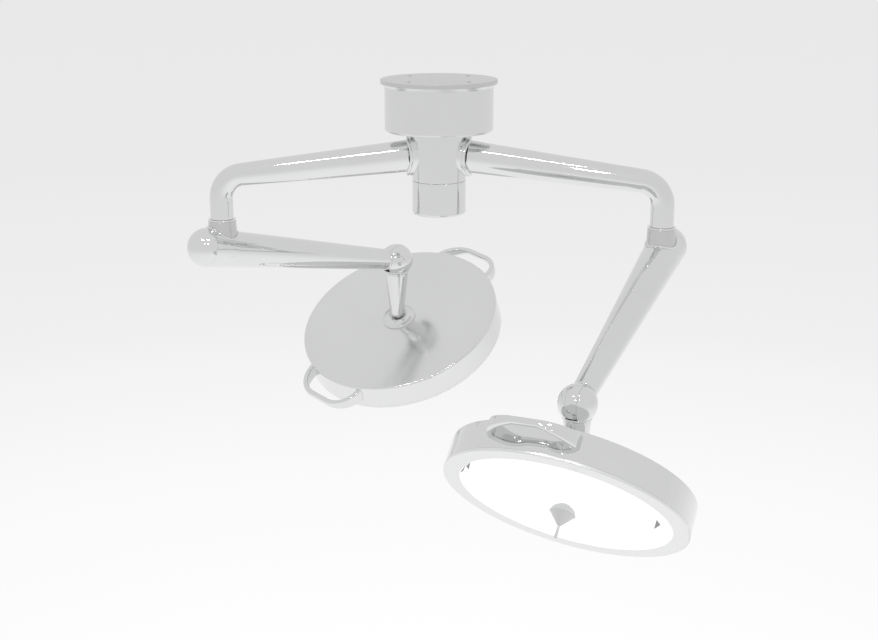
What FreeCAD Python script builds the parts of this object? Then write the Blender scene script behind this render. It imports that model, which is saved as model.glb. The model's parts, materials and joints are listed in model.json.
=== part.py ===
import FreeCAD, Part
import math
import os

V = FreeCAD.Vector
os.makedirs("parts", exist_ok=True)

# Double-head ceiling-mounted operating light. Millimetres, +Z up.
# The origin is the centre of the ceiling plate's top face, and everything hangs below it.

# ---- driving dimensions -------------------------------------------------
PLATE_R = 127.0            # ceiling plate
PLATE_T = 8.0
CEILING_PCD = 180.0        # circle of the ceiling bolts
CEILING_BOLTS = 4
CEILING_HOLE_R = 4.5
SPINDLE_BORE_R = 13.0      # cable way down the main spindle
CANOPY_R = 118.0           # canopy drum below its bevel
CANOPY_BEVEL = 8.0
CANOPY_BOTTOM = -111.0
CANOPY_WALL = 2.0
STANDOFF_R = 6.0           # posts that carry the canopy
STANDOFF_PCD = 202.0
CANOPY_SCREWS = 3
SCREW_R = 2.5
SPINDLE_R = 22.0           # main spindle, which both arms turn on
SPINDLE_FLANGE_R = 45.0
SPINDLE_FLANGE_T = 10.0
SPINDLE_END = -215.0
TRANSFORMER_R = 92.0
TRANSFORMER_H = 42.0
COLUMN_R = 59.0            # hub body and bottom cap
COLUMN_SEAM = -219.5
COLUMN_BOTTOM = -293.5
SEAM_ROUND = 0.8           # rounding of the two edges at the seam
HUB_BUSH_WALL = 5.0
HUB_BUSH_LENGTH = 26.0
NUT_R = 34.0
NUT_T = 11.0
CAP_WALL = 2.5
SOCKET_R = 44.0            # ring round each arm's root
SOCKET_REACH = 68.0
SOCKET_ROUND = 7.0

ARM_LENGTH = 489.0         # column axis to elbow axis
ARM_SLOPE = 7.27           # degrees down, going outward
ARM_ROOT_Z = -158.7        # height of the arm's axis where it meets the column axis
ARM_ROOT_R = 35.5
TUBE_R = 26.0              # arm tube at the elbow
TUBE_WALL = 3.0
ELBOW_BEND = 55.0
SPIGOT_R = 26.0
TUBE_END = -315.0
ELBOW_SPINDLE_R = 14.0
ELBOW_BUSH_LENGTH = 14.0

COLLAR_R = 31.0
COLLAR_T = 3.4
PIVOT_Z = -384.5           # lift pivot of the spring arm
PIVOT_PIN_R = 8.0
NECK_HALF_X = 10.0
NECK_HALF_Y = 9.0
LINK_OFFSET = 16.0         # level link's pivots below the main pivots
LINK_PIN_R = 3.5
LINK_EYE_R = 7.0
LINK_ROD_R = 4.0
LINK_HALF_T = 4.5

SPRING_ARM = 502.0         # lift pivot to knuckle centre
SHELL_R = 44.5             # big end, a hemisphere behind the pivot
SHELL_REAR = 42.7
SHELL_END_R = 25.0
SHELL_WALL = 3.0
LIFT_UP = 4.0              # highest and lowest pitch of the spring arm, degrees
LIFT_DOWN = -28.0
SPRING_R = 13.0
SPRING_BORE = 8.5
SPRING_ROD_R = 5.0
SPRING_Z = 12.0
SPRING_FROM = 70.0
SPRING_LENGTH = 200.0

BALL_R = 40.3              # knuckle ball
TONGUE_HALF = 12.4
KNUCKLE_PIN_R = 5.0
BALL_CUT = 31.0            # the ball's flat foot, below its centre
FOOT_RING_R = 28.0
FOOT_RING_TUBE = 2.4
END_RING_TUBE = 2.6
END_RING_BACK = 2.7        # bead behind the shell's end, clear of the foot bead with the arm up

DROP = 134.5               # knuckle centre to the tilt axis
STEM_TOP_R = 27.6
STEM_FOOT_R = 17.3         # its lower end is a ball of this radius, on the tilt axis
STEM_BOLT_R = 6.0
STEM_BOLT_HEAD_R = 10.0
TILT_H = 17.0              # tilt axis above the head's back
TILT_PIN_R = 3.5
TILT_MOST = 47.0           # how far the head leans each way from level
TILT_LEAST = -30.0
TONGUE_WIDE = 6.5          # half width of the head's tongue, in the plane of the tilt
TONGUE_THICK = 5.0         # half thickness, along the tilt axis

HEAD_R = 250.0
HEAD_T = 68.0
HEAD_WALL = 2.5
OPENING_R = 216.0
BEZEL_T = 7.0
GLASS_T = 4.0
GLASS_SET_BACK = 3.0
FLANGE_R = 43.0            # cover plate at the middle of the back
FLANGE_BEAD = 2.6
LIP_R = 21.5               # raised lip round the stem's foot
LIP_BEAD = 1.6
LIP_TOP = 9.2
CUP_R = 25.0
HUB_HOLE_R = 12.0
HANDLE_RING_R = 27.0       # knob's rim
HANDLE_RING_FRONT = 14.0   # its distance in front of the bezel
HANDLE_CONE = 25.0
HANDLE_DOME_TOP_R = 11.0
HANDLE_SHAFT_R = 10.0
HANDLE_ROD_R = 3.0
HANDLE_REACH = 66.0        # rod end in front of the bezel
GRIP_SPAN = 183.0
GRIP_OUT = 52.0
GRIP_BAND = 13.0
GRIP_WIDTH = 24.0
GRIP_CORNER = 66.0
GRIP_ROUND = 5.5
GRIP_FROM_BACK = 5.0
GRIP_SLOPE = 14.0          # degrees that a grip slopes towards the lit side

GAP = 0.3                  # clearance between pieces that move on each other
RUN = 0.05                 # radial clearance of a running fit

# ---- rest pose of each side, degrees --------------------------------------
# arm: plan direction of the extension arm. swing: plan direction of the spring arm.
# lift: pitch of the spring arm. lean: plan direction in which the head's back leans.
# tilt: how far it leans. grip: where the first grip stands, from the lean direction.
# pin: the side of the spring arm that the pivot pin goes in from.
SIDES = {
    "left": {"arm": 174.9, "swing": 39.15, "lift": -11.4,
             "lean": -118.5, "tilt": 29.6, "grip": -18.0, "pin": 1},
    "right": {"arm": -5.1, "swing": -117.85, "lift": -23.4,
              "lean": 63.8, "tilt": 43.4, "grip": -2.0, "pin": -1},
}


# ---- helpers ---------------------------------------------------------------
def cylinder(radius, start, end):
    start = V(*start)
    along = V(*end) - start
    return Part.makeCylinder(radius, along.Length, start, along)


def cone(start_r, end_r, start, end):
    start = V(*start)
    along = V(*end) - start
    return Part.makeCone(start_r, end_r, along.Length, start, along)


def ball(radius, centre):
    return Part.makeSphere(radius, V(*centre))


def block(low, high):
    size = V(*high) - V(*low)
    return Part.makeBox(size.x, size.y, size.z, V(*low))


def ring(centre_r, tube_r, centre, axis):
    return Part.makeTorus(centre_r, tube_r, V(*centre), V(*axis))


def turned(points):
    """A solid turned about Z from (radius, height) points. A third value bulges the stretch that leads to
    the point into an arc, outwards if it is positive."""
    edges = []
    count = len(points)
    area = sum(points[i - 1][0] * points[i][1] - points[i][0] * points[i - 1][1] for i in range(count))
    outwards = 1 if area > 0 else -1
    for i in range(count):
        here = points[i]
        there = points[(i + 1) % count]
        start = V(here[0], 0, here[1])
        end = V(there[0], 0, there[1])
        if len(there) == 3:
            chord = end - start
            side = V(chord.z, 0, -chord.x) * outwards
            side.normalize()
            middle = (start + end) * 0.5 + side * there[2]
            edges.append(Part.Arc(start, middle, end).toShape())
        else:
            edges.append(Part.LineSegment(start, end).toShape())
    face = Part.Face(Part.Wire(edges))
    return face.revolve(V(0, 0, 0), V(0, 0, 1), 360)


def around(shape, count, start=0.0):
    copies = []
    for i in range(count):
        one = shape.copy()
        one.rotate(V(0, 0, 0), V(0, 0, 1), start + 360.0 * i / count)
        copies.append(one)
    return copies


def softened(shape, radius, keep):
    """Fillet the edges that keep() picks."""
    edges = [edge for edge in shape.Edges if keep(edge)]
    return shape.makeFillet(radius, edges)


def save(name, shape, placement=None):
    solids = shape if isinstance(shape, list) else [shape]
    placed = []
    for solid in solids:
        one = solid.removeSplitter() if len(solid.Solids) == 1 else solid
        one = one.Solids[0] if len(one.Solids) == 1 else one
        one = one.copy()
        if placement is not None:
            one.Placement = placement.multiply(one.Placement)
        placed.append(one)
    whole = placed[0] if len(placed) == 1 else Part.makeCompound(placed)
    whole.exportStep("parts/" + name + ".step")
    print(name, len(whole.Solids), "solids", round(whole.Volume / 1000.0, 2), "cm3", whole.isValid())


def spun(degrees, at=(0, 0, 0), axis=(0, 0, 1)):
    return FreeCAD.Placement(V(*at), FreeCAD.Rotation(V(*axis), degrees))


# ---- places worked out from the dimensions ----------------------------------
SLOPE = math.radians(ARM_SLOPE)
ELBOW_Z = ARM_ROOT_Z - ARM_LENGTH * math.tan(SLOPE)
BEND_LENGTH = ELBOW_BEND * math.tan(math.radians(90 - ARM_SLOPE) / 2)
HUB_BUSH_R = SPINDLE_R + RUN + HUB_BUSH_WALL
BUSH_LOW = COLUMN_SEAM + NUT_T + 5.5
HUB_TOP = CANOPY_BOTTOM - 0.5
SPIGOT_FROM = HUB_BUSH_R + 6.0
COLLAR_TOP = TUBE_END - GAP
COLLAR_BOTTOM = COLLAR_TOP - COLLAR_T
SPINDLE_TOP = COLLAR_TOP + 45.0
SHELL_END_X = SPRING_ARM - math.sqrt((BALL_R + GAP) ** 2 - SHELL_END_R ** 2)
BEZEL_Z = -(HEAD_T - BEZEL_T)
CUP_FLOOR = -6.0           # underside of the cup under the stem's foot
LAMP_FLOOR = -18.0         # plate that carries the lenses and the focus shaft
GLASS_Z = -(HEAD_T - GLASS_SET_BACK - GLASS_T)


# ---- ceiling fixing, canopy and column ---------------------------------------
def ceiling_plate():
    plate = Part.makeCylinder(PLATE_R, PLATE_T, V(0, 0, -PLATE_T))
    plate = softened(plate, 0.8, lambda e: e.Length > 100 and e.Vertexes[0].Z > -1)
    at = STANDOFF_PCD / 2
    post = cylinder(STANDOFF_R, (at, 0, -PLATE_T), (at, 0, CANOPY_BOTTOM + CANOPY_WALL))
    for one in around(post, CANOPY_SCREWS, 90):
        plate = plate.fuse(one)
    thread = cylinder(SCREW_R, (at, 0, CANOPY_BOTTOM + 14), (at, 0, CANOPY_BOTTOM - 1))
    for one in around(thread, CANOPY_SCREWS, 90):
        plate = plate.cut(one)
    out = CEILING_PCD / 2
    hole = cylinder(CEILING_HOLE_R, (out, 0, -PLATE_T - 1), (out, 0, 1))
    for one in around(hole, CEILING_BOLTS, 45):
        plate = plate.cut(one)
    return plate


def canopy():
    top = -PLATE_T - GAP
    outer = CANOPY_R
    foot = 5.0
    wall = CANOPY_WALL
    rim = CANOPY_R + CANOPY_BEVEL
    mouth = COLUMN_R - 12
    shell = turned([
        (rim, top), (outer, top - CANOPY_BEVEL), (outer, CANOPY_BOTTOM + foot),
        (outer - foot, CANOPY_BOTTOM, foot * 0.29), (mouth, CANOPY_BOTTOM), (mouth, CANOPY_BOTTOM + wall),
        (outer - foot, CANOPY_BOTTOM + wall), (outer - wall, CANOPY_BOTTOM + foot, -(foot - wall) * 0.29),
        (outer - wall, top - CANOPY_BEVEL - 0.5), (rim - wall - 1, top),
    ])
    at = STANDOFF_PCD / 2
    hole = cylinder(SCREW_R + 0.3, (at, 0, CANOPY_BOTTOM - 1), (at, 0, CANOPY_BOTTOM + 3))
    for one in around(hole, CANOPY_SCREWS, 90):
        shell = shell.cut(one)
    return shell


def canopy_screws():
    at = STANDOFF_PCD / 2
    screw = cylinder(SCREW_R, (at, 0, CANOPY_BOTTOM + 13), (at, 0, CANOPY_BOTTOM))
    screw = screw.fuse(cylinder(4.5, (at, 0, CANOPY_BOTTOM), (at, 0, CANOPY_BOTTOM - 2.6)))
    slot = block((at - 5, -0.5, CANOPY_BOTTOM - 3), (at + 5, 0.5, CANOPY_BOTTOM - 1.4))
    return around(screw.cut(slot), CANOPY_SCREWS, 90)


def transformer():
    top = -PLATE_T - GAP
    low = top - TRANSFORMER_H
    inner = SPINDLE_FLANGE_R + 3
    return turned([
        (inner + 6, top, 1.75), (TRANSFORMER_R - 6, top), (TRANSFORMER_R, top - 6, 1.75),
        (TRANSFORMER_R, low + 6), (TRANSFORMER_R - 6, low, 1.75), (inner + 6, low), (inner, low + 6, 1.75),
        (inner, top - 6),
    ])


def main_spindle():
    bore = SPINDLE_BORE_R
    top = -PLATE_T
    foot = top - SPINDLE_FLANGE_T
    return turned([
        (bore, top), (SPINDLE_FLANGE_R, top), (SPINDLE_FLANGE_R, foot), (SPINDLE_R, foot - 4),
        (SPINDLE_R, SPINDLE_END), (bore, SPINDLE_END),
    ])


def hub_body():
    body = Part.makeCylinder(COLUMN_R, HUB_TOP - COLUMN_SEAM, V(0, 0, COLUMN_SEAM))
    body = softened(body, SEAM_ROUND, lambda e: e.Length > 100 and e.BoundBox.ZMax < COLUMN_SEAM + 0.1)
    way = V(math.cos(SLOPE), 0, -math.sin(SLOPE))
    start = V(0, 0, ARM_ROOT_Z)
    for side in SIDES.values():
        turn = spun(side["arm"])
        sleeve = Part.makeCylinder(SOCKET_R, SOCKET_REACH + 40, start, way)
        reach = Part.makeCylinder(SOCKET_REACH, 300, V(0, 0, -320))
        reach.rotate(V(0, 0, 0), V(0, 0, 1), 180)
        sleeve = sleeve.common(reach).common(block((COLUMN_R / 2, -100, -400), (200, 100, 0)))
        mouth = COLUMN_R / 2 + 5
        sleeve = softened(sleeve, SOCKET_ROUND, lambda e: e.BoundBox.XMin > mouth and e.Length > 150)
        sleeve.Placement = turn.multiply(sleeve.Placement)
        body = body.fuse(sleeve)
    for side in SIDES.values():
        turn = spun(side["arm"])
        hole = Part.makeCylinder(SPIGOT_R, SOCKET_REACH + 40, start, way)
        hole.Placement = turn.multiply(hole.Placement)
        body = body.cut(hole)
    body = body.cut(Part.makeCylinder(HUB_BUSH_R, 300, V(0, 0, BUSH_LOW)))
    recess = NUT_R + 3
    return body.cut(Part.makeCylinder(recess, BUSH_LOW - COLUMN_SEAM + 1, V(0, 0, COLUMN_SEAM - 1)))


def hub_bushes():
    bush = turned([
        (SPINDLE_R + RUN, 0), (HUB_BUSH_R, 0), (HUB_BUSH_R, HUB_BUSH_LENGTH),
        (SPINDLE_R + RUN, HUB_BUSH_LENGTH),
    ])
    low = bush.copy()
    low.translate(V(0, 0, BUSH_LOW))
    high = bush.copy()
    high.translate(V(0, 0, HUB_TOP - HUB_BUSH_LENGTH))
    return [low, high]


def spindle_nut():
    top = BUSH_LOW - GAP
    nut = Part.makeCylinder(NUT_R, NUT_T, V(0, 0, top - NUT_T))
    nut = nut.cut(Part.makeCylinder(SPINDLE_R, 3 * NUT_T, V(0, 0, top - 2 * NUT_T)))
    for one in around(block((NUT_R - 4, -4, top - NUT_T - 1), (NUT_R + 1, 4, top - NUT_T + 5)), 4):
        nut = nut.cut(one)
    return nut


def slip_ring():
    top = SPINDLE_END
    body = Part.makeCylinder(24, 38, V(0, 0, top - 38))
    body = body.fuse(Part.makeCylinder(SPINDLE_BORE_R - 0.5, 12, V(0, 0, top)))
    for level in (8, 16, 24):
        body = body.cut(ring(24, 2.0, (0, 0, top - level), (0, 0, 1)))
    return body


def bottom_cap():
    top = COLUMN_SEAM - 0.4
    low = COLUMN_BOTTOM
    foot = 5.0
    lip = NUT_R + 3
    return turned([
        (COLUMN_R - SEAM_ROUND, top), (COLUMN_R, top - SEAM_ROUND, SEAM_ROUND * 0.29), (COLUMN_R, low + foot),
        (COLUMN_R - foot, low, foot * 0.29), (0, low), (0, low + CAP_WALL),
        (COLUMN_R - foot, low + CAP_WALL), (COLUMN_R - CAP_WALL, low + foot, -0.7),
        (COLUMN_R - CAP_WALL, top - 8),
        (lip - 3, top - 8), (lip - 3, top + 6), (lip, top + 6), (lip, top),
    ])


# ---- one side: extension arm and elbow -----------------------------------------
def arm_core(root_r, end_r, root_x, low):
    """The arm's outline as one solid: a tapered run, the elbow bend and the vertical end."""
    way = V(math.cos(SLOPE), 0, -math.sin(SLOPE))
    start = V(0, 0, ARM_ROOT_Z) + way * (root_x / math.cos(SLOPE))
    corner = V(ARM_LENGTH, 0, ELBOW_Z)
    bend = corner - way * BEND_LENGTH
    run = bend - start
    core = Part.makeCone(root_r, end_r, run.Length, start, run)
    centre = bend + V(-math.sin(SLOPE), 0, -math.cos(SLOPE)) * ELBOW_BEND
    disc = Part.Face(Part.Wire(Part.makeCircle(end_r, bend, way)))
    core = core.fuse(disc.revolve(centre, V(0, 1, 0), 90 - ARM_SLOPE))
    return core.fuse(cylinder(end_r, (ARM_LENGTH, 0, ELBOW_Z - BEND_LENGTH), (ARM_LENGTH, 0, low)))


def extension_arm():
    root = SOCKET_REACH - 5.0
    outer = arm_core(ARM_ROOT_R, TUBE_R, root, TUBE_END)
    rough = outer.cut(Part.makeCylinder(SOCKET_REACH, 300, V(0, 0, -320)))
    way = V(math.cos(SLOPE), 0, -math.sin(SLOPE))
    start = V(0, 0, ARM_ROOT_Z) + way * (SPIGOT_FROM / math.cos(SLOPE))
    spigot = Part.makeCylinder(SPIGOT_R - RUN, SOCKET_REACH, start, way)
    spigot = spigot.cut(Part.makeCylinder(HUB_BUSH_R + 3, 300, V(0, 0, -320)))
    inner = arm_core(ARM_ROOT_R - TUBE_WALL - 10, TUBE_R - TUBE_WALL, SPIGOT_FROM - 8, TUBE_END - 1)
    return rough.fuse(spigot).cut(inner)


def elbow_bushes():
    inner = ELBOW_SPINDLE_R + RUN
    outer = TUBE_R - TUBE_WALL
    bush = turned([(inner, 0), (outer, 0), (outer, ELBOW_BUSH_LENGTH), (inner, ELBOW_BUSH_LENGTH)])
    low = bush.copy()
    low.translate(V(ARM_LENGTH, 0, TUBE_END + 1))
    high = bush.copy()
    high.translate(V(ARM_LENGTH, 0, SPINDLE_TOP - ELBOW_BUSH_LENGTH - 4 - GAP))
    return [low, high]


# ---- one side: swivel at the elbow. The frame stands on the elbow axis, +X along the spring arm --
def elbow_spindle():
    head = turned([(0, SPINDLE_TOP), (18, SPINDLE_TOP), (18, SPINDLE_TOP - 4), (0, SPINDLE_TOP - 4)])
    return head.fuse(cylinder(ELBOW_SPINDLE_R, (0, 0, SPINDLE_TOP - 4), (0, 0, COLLAR_TOP)))


def swivel_collar():
    collar = turned([
        (0, COLLAR_TOP), (COLLAR_R - 1, COLLAR_TOP), (COLLAR_R, COLLAR_TOP - 1, 0.29),
        (COLLAR_R, COLLAR_BOTTOM),
        (0, COLLAR_BOTTOM),
    ])
    link_z = PIVOT_Z - LINK_OFFSET
    neck = block((-NECK_HALF_X, -NECK_HALF_Y, link_z), (NECK_HALF_X, NECK_HALF_Y, COLLAR_BOTTOM))
    neck = neck.fuse(cylinder(14, (0, -NECK_HALF_Y, PIVOT_Z), (0, NECK_HALF_Y, PIVOT_Z)))
    neck = neck.fuse(cylinder(NECK_HALF_X, (0, -NECK_HALF_Y, link_z), (0, NECK_HALF_Y, link_z)))
    reach = LINK_EYE_R + GAP
    slot = cylinder(reach, (0, -LINK_HALF_T - GAP, link_z), (0, LINK_HALF_T + GAP, link_z))
    slot = slot.fuse(block((0, -LINK_HALF_T - GAP, link_z - 12), (20, LINK_HALF_T + GAP, link_z + reach)))
    slot = slot.fuse(block((-12, -LINK_HALF_T - GAP, link_z - 12), (12, LINK_HALF_T + GAP, link_z)))
    piece = collar.fuse(neck).cut(slot)
    piece = piece.cut(cylinder(PIVOT_PIN_R + RUN, (0, -30, PIVOT_Z), (0, 30, PIVOT_Z)))
    return piece.fuse(cylinder(LINK_PIN_R, (0, -NECK_HALF_Y, link_z), (0, NECK_HALF_Y, link_z)))


def shoulder_boot(lift):
    """Soft sleeve round the neck, from the collar down to the spring arm."""
    boot = cylinder(COLLAR_R, (0, 0, COLLAR_BOTTOM - GAP), (0, 0, PIVOT_Z))
    boot = boot.cut(cylinder(NECK_HALF_X + 8, (0, 0, COLLAR_BOTTOM + 1), (0, 0, PIVOT_Z - 1)))
    shell = shell_solid(GAP)
    shell.Placement = spun(-lift, (0, 0, PIVOT_Z), (0, 1, 0)).multiply(shell.Placement)
    return boot.cut(shell)


# ---- one side: spring arm. The frame stands on the lift pivot, +X along the arm ------------------
def shell_solid(grow=0.0):
    """Outside of the spring arm: a hemisphere behind the pivot and a long taper to the knuckle."""
    taper = cone(SHELL_R + grow, SHELL_END_R + grow, (-SHELL_REAR, 0, 0), (SHELL_END_X, 0, 0))
    rear = ball(SHELL_R + grow, (-SHELL_REAR, 0, 0))
    return taper.fuse(rear.common(block((-200, -100, -100), (-SHELL_REAR, 100, 100))))


def bore_r(x):
    """Inside radius of the taper at x."""
    share = (x + SHELL_REAR) / (SHELL_END_X + SHELL_REAR)
    return SHELL_R + (SHELL_END_R - SHELL_R) * share - SHELL_WALL


def arm_shell(pin_side):
    """Tapered tube. Its pivot bore is open on one side and stops inside the wall on the other."""
    low = -SHELL_REAR
    taper = cone(SHELL_R, SHELL_END_R, (low, 0, 0), (SHELL_END_X, 0, 0))
    hollow = cone(SHELL_R - SHELL_WALL, SHELL_END_R - SHELL_WALL, (low, 0, 0), (SHELL_END_X, 0, 0))
    shell = taper.cut(hollow).cut(ball(BALL_R + GAP, (SPRING_ARM, 0, 0)))
    wall_r = bore_r(0) + SHELL_WALL / 2
    for hand in (-1, 1):
        boss = cylinder(PIVOT_PIN_R + 5, (0, hand * (NECK_HALF_Y + GAP), 0), (0, hand * wall_r, 0))
        shell = shell.fuse(boss)
    anchor_x = SPRING_FROM + SPRING_LENGTH
    wide = bore_r(anchor_x) + 1
    anchor = block((anchor_x, -wide, -4), (anchor_x + 6, wide, 24))
    shell = shell.fuse(anchor.common(taper))
    shell = shell.cut(cylinder(SPRING_ROD_R + GAP, (SPRING_FROM, 0, SPRING_Z), (SPRING_ARM, 0, SPRING_Z)))
    shell = shell.cut(cylinder(PIVOT_PIN_R, (0, -pin_side * pin_reach(), 0), (0, pin_side * 60, 0)))
    return shell.cut(neck_slot())


def pin_reach():
    """How far the pivot pin reaches into the closed side."""
    return bore_r(0) + 0.8


def neck_slot():
    """Slot in the top of the shell, as long as the neck's swing over the whole lift."""
    reach = SHELL_R + 6
    half = NECK_HALF_X + 1.5
    rear = -reach * math.sin(math.radians(-LIFT_DOWN)) - half
    front = reach * math.sin(math.radians(LIFT_UP)) + half
    return block((rear, -NECK_HALF_Y - 2, 20), (front, NECK_HALF_Y + 2, 60))


def arm_end_cap():
    """Rear half ball, with a sleeve that plugs into the shell."""
    rear = ball(SHELL_R, (-SHELL_REAR, 0, 0)).cut(ball(SHELL_R - SHELL_WALL, (-SHELL_REAR, 0, 0)))
    rear = rear.common(block((-200, -100, -100), (-SHELL_REAR - 0.2, 100, 100)))
    lip = SHELL_R - SHELL_WALL - 0.3
    sleeve = cylinder(lip, (-SHELL_REAR - 12, 0, 0), (-SHELL_REAR + 5, 0, 0))
    sleeve = sleeve.cut(cylinder(lip - 2, (-SHELL_REAR - 13, 0, 0), (-SHELL_REAR + 6, 0, 0)))
    sleeve = sleeve.common(ball(SHELL_R - SHELL_WALL / 2, (-SHELL_REAR, 0, 0)).fuse(
        cylinder(lip, (-SHELL_REAR, 0, 0), (-SHELL_REAR + 5, 0, 0))))
    return rear.fuse(sleeve).cut(neck_slot())


def pivot_pin(pin_side):
    head = bore_r(0) + SHELL_WALL - 0.6
    pin = cylinder(PIVOT_PIN_R, (0, -pin_side * (pin_reach() - 0.2), 0), (0, pin_side * head, 0))
    return softened(pin, 0.8, lambda e: e.BoundBox.YLength < 0.01)


def balance_spring():
    """Coil spring, drawn as a sleeve with one groove for each turn."""
    start = SPRING_FROM
    spring = cylinder(SPRING_R, (start, 0, SPRING_Z), (start + SPRING_LENGTH, 0, SPRING_Z))
    turns = 12
    step = SPRING_LENGTH / turns
    for i in range(1, turns):
        spring = spring.cut(ring(SPRING_R + 1, 2.2, (start + i * step, 0, SPRING_Z), (1, 0, 0)))
    end = start + SPRING_LENGTH
    return spring.cut(cylinder(SPRING_BORE, (start - 1, 0, SPRING_Z), (end + 1, 0, SPRING_Z)))


def spring_rod():
    start = SPRING_FROM - 22
    rod = cylinder(SPRING_ROD_R, (start, 0, SPRING_Z), (SPRING_FROM + SPRING_LENGTH + 22, 0, SPRING_Z))
    rod = rod.fuse(cylinder(SPRING_R, (SPRING_FROM - 5, 0, SPRING_Z), (SPRING_FROM, 0, SPRING_Z)))
    return rod.fuse(cylinder(SPRING_R - 4, (start - 3, 0, SPRING_Z), (start + 6, 0, SPRING_Z)))


def arm_end_ring():
    at = SHELL_END_X - END_RING_BACK
    bead = ring(SHELL_END_R - 0.4, END_RING_TUBE, (at, 0, 0), (1, 0, 0))
    bead = bead.cut(shell_solid())
    return bead.cut(ball(BALL_R + GAP, (SPRING_ARM, 0, 0)))


def knuckle_tongue():
    s = SPRING_ARM
    t = TONGUE_HALF
    plug_end = s - BALL_R - 3
    slice_ = ball(BALL_R, (s, 0, 0)).common(block((s - 60, -t, -60), (s + 60, t, 60)))
    below = block((s - 60, -t - 1, -60), (s + 60, t + 1, -6.4))
    slice_ = slice_.cut(below)
    slice_ = slice_.fuse(cylinder(LINK_OFFSET - LINK_EYE_R - 0.4, (s, -t, 0), (s, t, 0)))
    plate = block((plug_end - 4, -t, -6.4), (s - 20, t, 17))
    plug = cylinder(bore_r(plug_end), (plug_end - 34, 0, 0), (plug_end, 0, 0))
    groove = block((plug_end - 60, -LINK_HALF_T - 1.5, -60), (s, LINK_HALF_T + 1.5, -8.6))
    piece = slice_.fuse(plate).fuse(plug.cut(groove))
    return piece.cut(cylinder(KNUCKLE_PIN_R + RUN, (s, -60, 0), (s, 60, 0)))


def level_link():
    """Rod that keeps the head's stem upright. The frame stands on its pin at the elbow."""
    half = LINK_HALF_T
    rod = cylinder(LINK_ROD_R, (5, 0, 0), (SPRING_ARM - 5, 0, 0))
    for x in (0, SPRING_ARM):
        rod = rod.fuse(cylinder(LINK_EYE_R, (x, -half, 0), (x, half, 0)))
    for x in (0, SPRING_ARM):
        rod = rod.cut(cylinder(LINK_PIN_R + RUN, (x, -20, 0), (x, 20, 0)))
    return rod


# ---- one side: knuckle and stem. The frame stands on the knuckle centre, upright ----------------
def knuckle_fork():
    t = TONGUE_HALF + GAP
    whole = ball(BALL_R, (0, 0, 0)).common(block((-60, -60, -BALL_CUT), (60, 60, 60)))
    middle = block((-60, -t, -60), (60, t, 60))
    cheeks = whole.cut(middle)
    bridge = whole.common(block((-60, -t, -BALL_CUT), (60, t, -(LINK_OFFSET + LINK_EYE_R + 2))))
    fork = cheeks.fuse(bridge)
    pocket = KNUCKLE_PIN_R
    fork = fork.cut(cylinder(pocket, (0, -38, 0), (0, 38, 0)))
    fork = fork.cut(cylinder(STEM_BOLT_R, (0, 0, -60), (0, 0, -(LINK_OFFSET + LINK_EYE_R + 1))))
    fork = fork.fuse(cylinder(LINK_PIN_R, (0, -t - 3, -LINK_OFFSET), (0, t + 3, -LINK_OFFSET)))
    bead = ring(FOOT_RING_R, FOOT_RING_TUBE, (0, 0, -BALL_CUT + FOOT_RING_TUBE), (0, 0, 1))
    return fork.fuse(bead)


def knuckle_pin():
    return cylinder(KNUCKLE_PIN_R, (0, -38, 0), (0, 38, 0))


def stem():
    """Tapered stem whose ball foot is slotted for the head's tongue. +X is the way the head leans."""
    top = -BALL_CUT - GAP
    foot = -DROP
    body = turned([
        (0, top), (STEM_TOP_R - 1, top), (STEM_TOP_R, top - 1, 0.29), (STEM_TOP_R, top - 6),
        (STEM_FOOT_R, foot),
        (0, foot),
    ])
    body = body.fuse(ball(STEM_FOOT_R, (0, 0, foot)))
    body = body.cut(tongue_slot())
    body = body.fuse(cylinder(TILT_PIN_R, (0, -STEM_FOOT_R + 2, foot), (0, STEM_FOOT_R - 2, foot)))
    web = top - 14
    body = body.cut(cylinder(STEM_BOLT_R + RUN, (0, 0, top + 1), (0, 0, web - 1)))
    return body.cut(cylinder(STEM_BOLT_HEAD_R + 2, (0, 0, web), (0, 0, web - 24)))


def tongue_slot():
    """Room that the head's tongue sweeps in the stem's foot."""
    thick = TONGUE_THICK + GAP
    wide = TONGUE_WIDE + GAP
    long = 3 * STEM_FOOT_R
    slot = cylinder(wide + 1, (0, -thick, -DROP), (0, thick, -DROP))
    angles = (TILT_LEAST - 1, 0, TILT_MOST + 1)
    for angle in angles:
        leg = block((-wide, -thick, -long), (wide, thick, 0))
        leg.Placement = spun(angle, (0, 0, -DROP), (0, 1, 0))
        slot = slot.fuse(leg)
    corners = [V(0, -thick, -DROP)]
    for angle in angles:
        turn = math.radians(angle)
        corners.append(V(-long * math.sin(turn), -thick, -DROP - long * math.cos(turn)))
    wedge = Part.Face(Part.makePolygon(corners + corners[:1])).extrude(V(0, 2 * thick, 0))
    return slot.fuse(wedge)


def stem_bolt():
    web = -BALL_CUT - GAP - 14
    bolt = cylinder(STEM_BOLT_R, (0, 0, -(LINK_OFFSET + LINK_EYE_R + 2.2)), (0, 0, web - GAP - 1))
    head = cylinder(STEM_BOLT_HEAD_R, (0, 0, web - GAP), (0, 0, web - GAP - 7))
    recess = cylinder(4, (0, 0, web - GAP - 3), (0, 0, web - GAP - 8))
    return bolt.fuse(head).cut(recess)


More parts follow.
